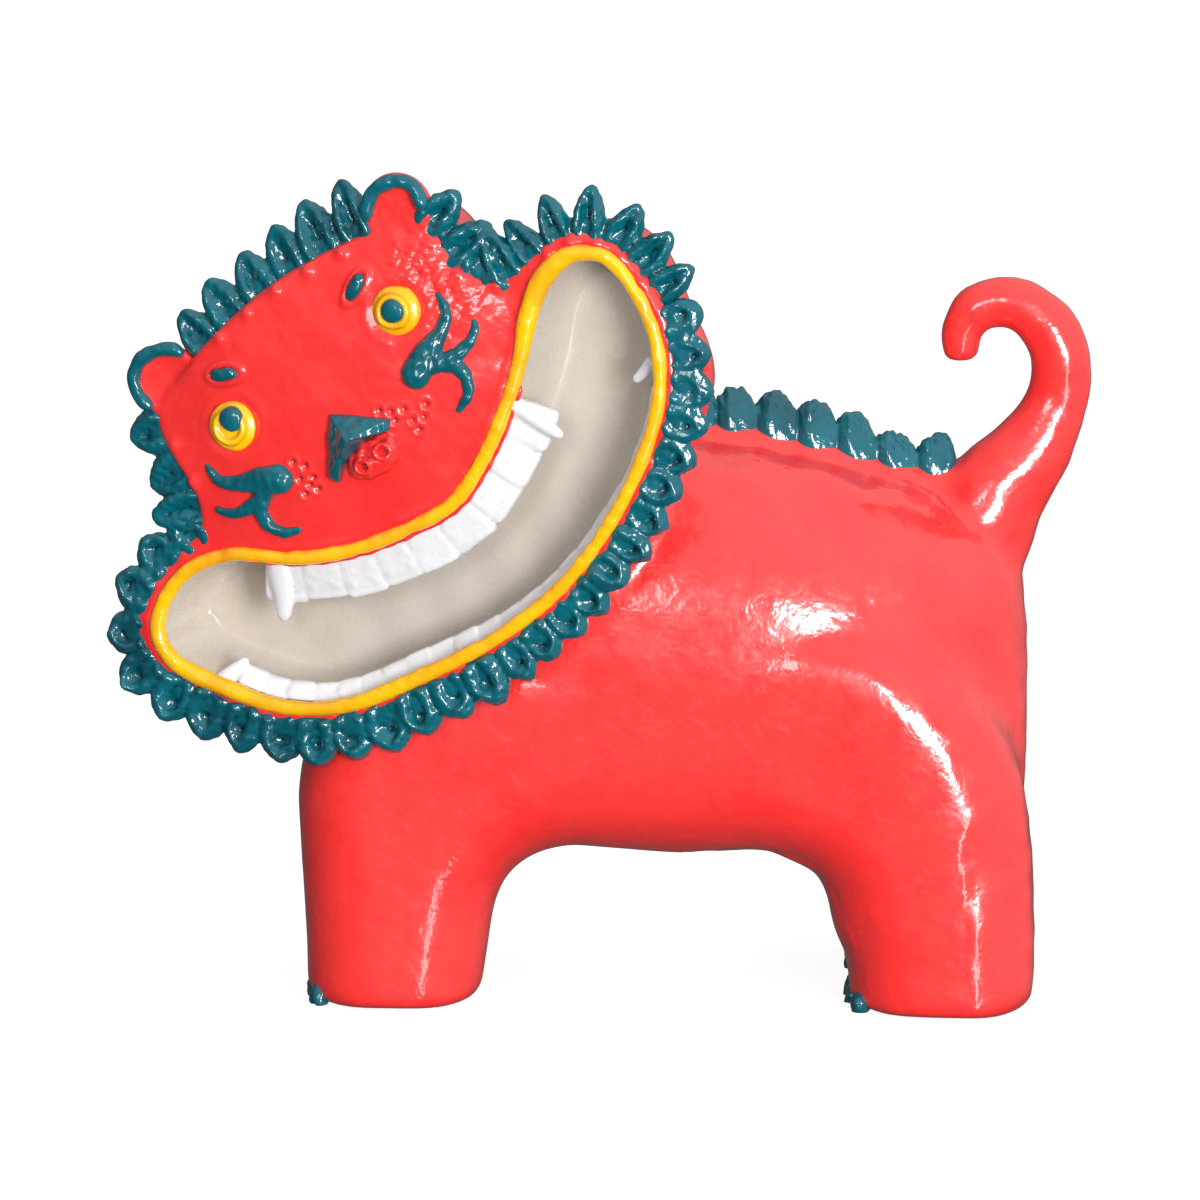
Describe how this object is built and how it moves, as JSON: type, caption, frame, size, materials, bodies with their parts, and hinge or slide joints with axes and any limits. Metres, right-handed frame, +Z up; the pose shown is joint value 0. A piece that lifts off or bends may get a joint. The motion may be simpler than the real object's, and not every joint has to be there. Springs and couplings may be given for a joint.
{
  "type": "lion figurine",
  "caption": "Hand-painted lion figurine standing on four thick legs, face turned sideways with a very wide toothed grin, a scalloped mane, a knobbed back crest and a curled tail.",
  "frame": {"origin": "middle of the overall bounding box at floor level, under the four feet", "axes": "+Z up, +X from the head to the tail along the body, -Y towards the side that the face is turned to"},
  "size_m": [0.2548, 0.1274, 0.2184],
  "materials": {
    "red_lacquer": "very glossy hand-brushed lacquer over cast clay",
    "teal_lacquer": "glossy, worn to grey on the high edges",
    "yellow_lacquer": "glossy",
    "mouth_grey": "semi-gloss warm grey",
    "tooth_white": "glossy white"
  },
  "bodies": {
    "root": {"lion_figurine": "red_lacquer"}
  },
  "joints": []
}
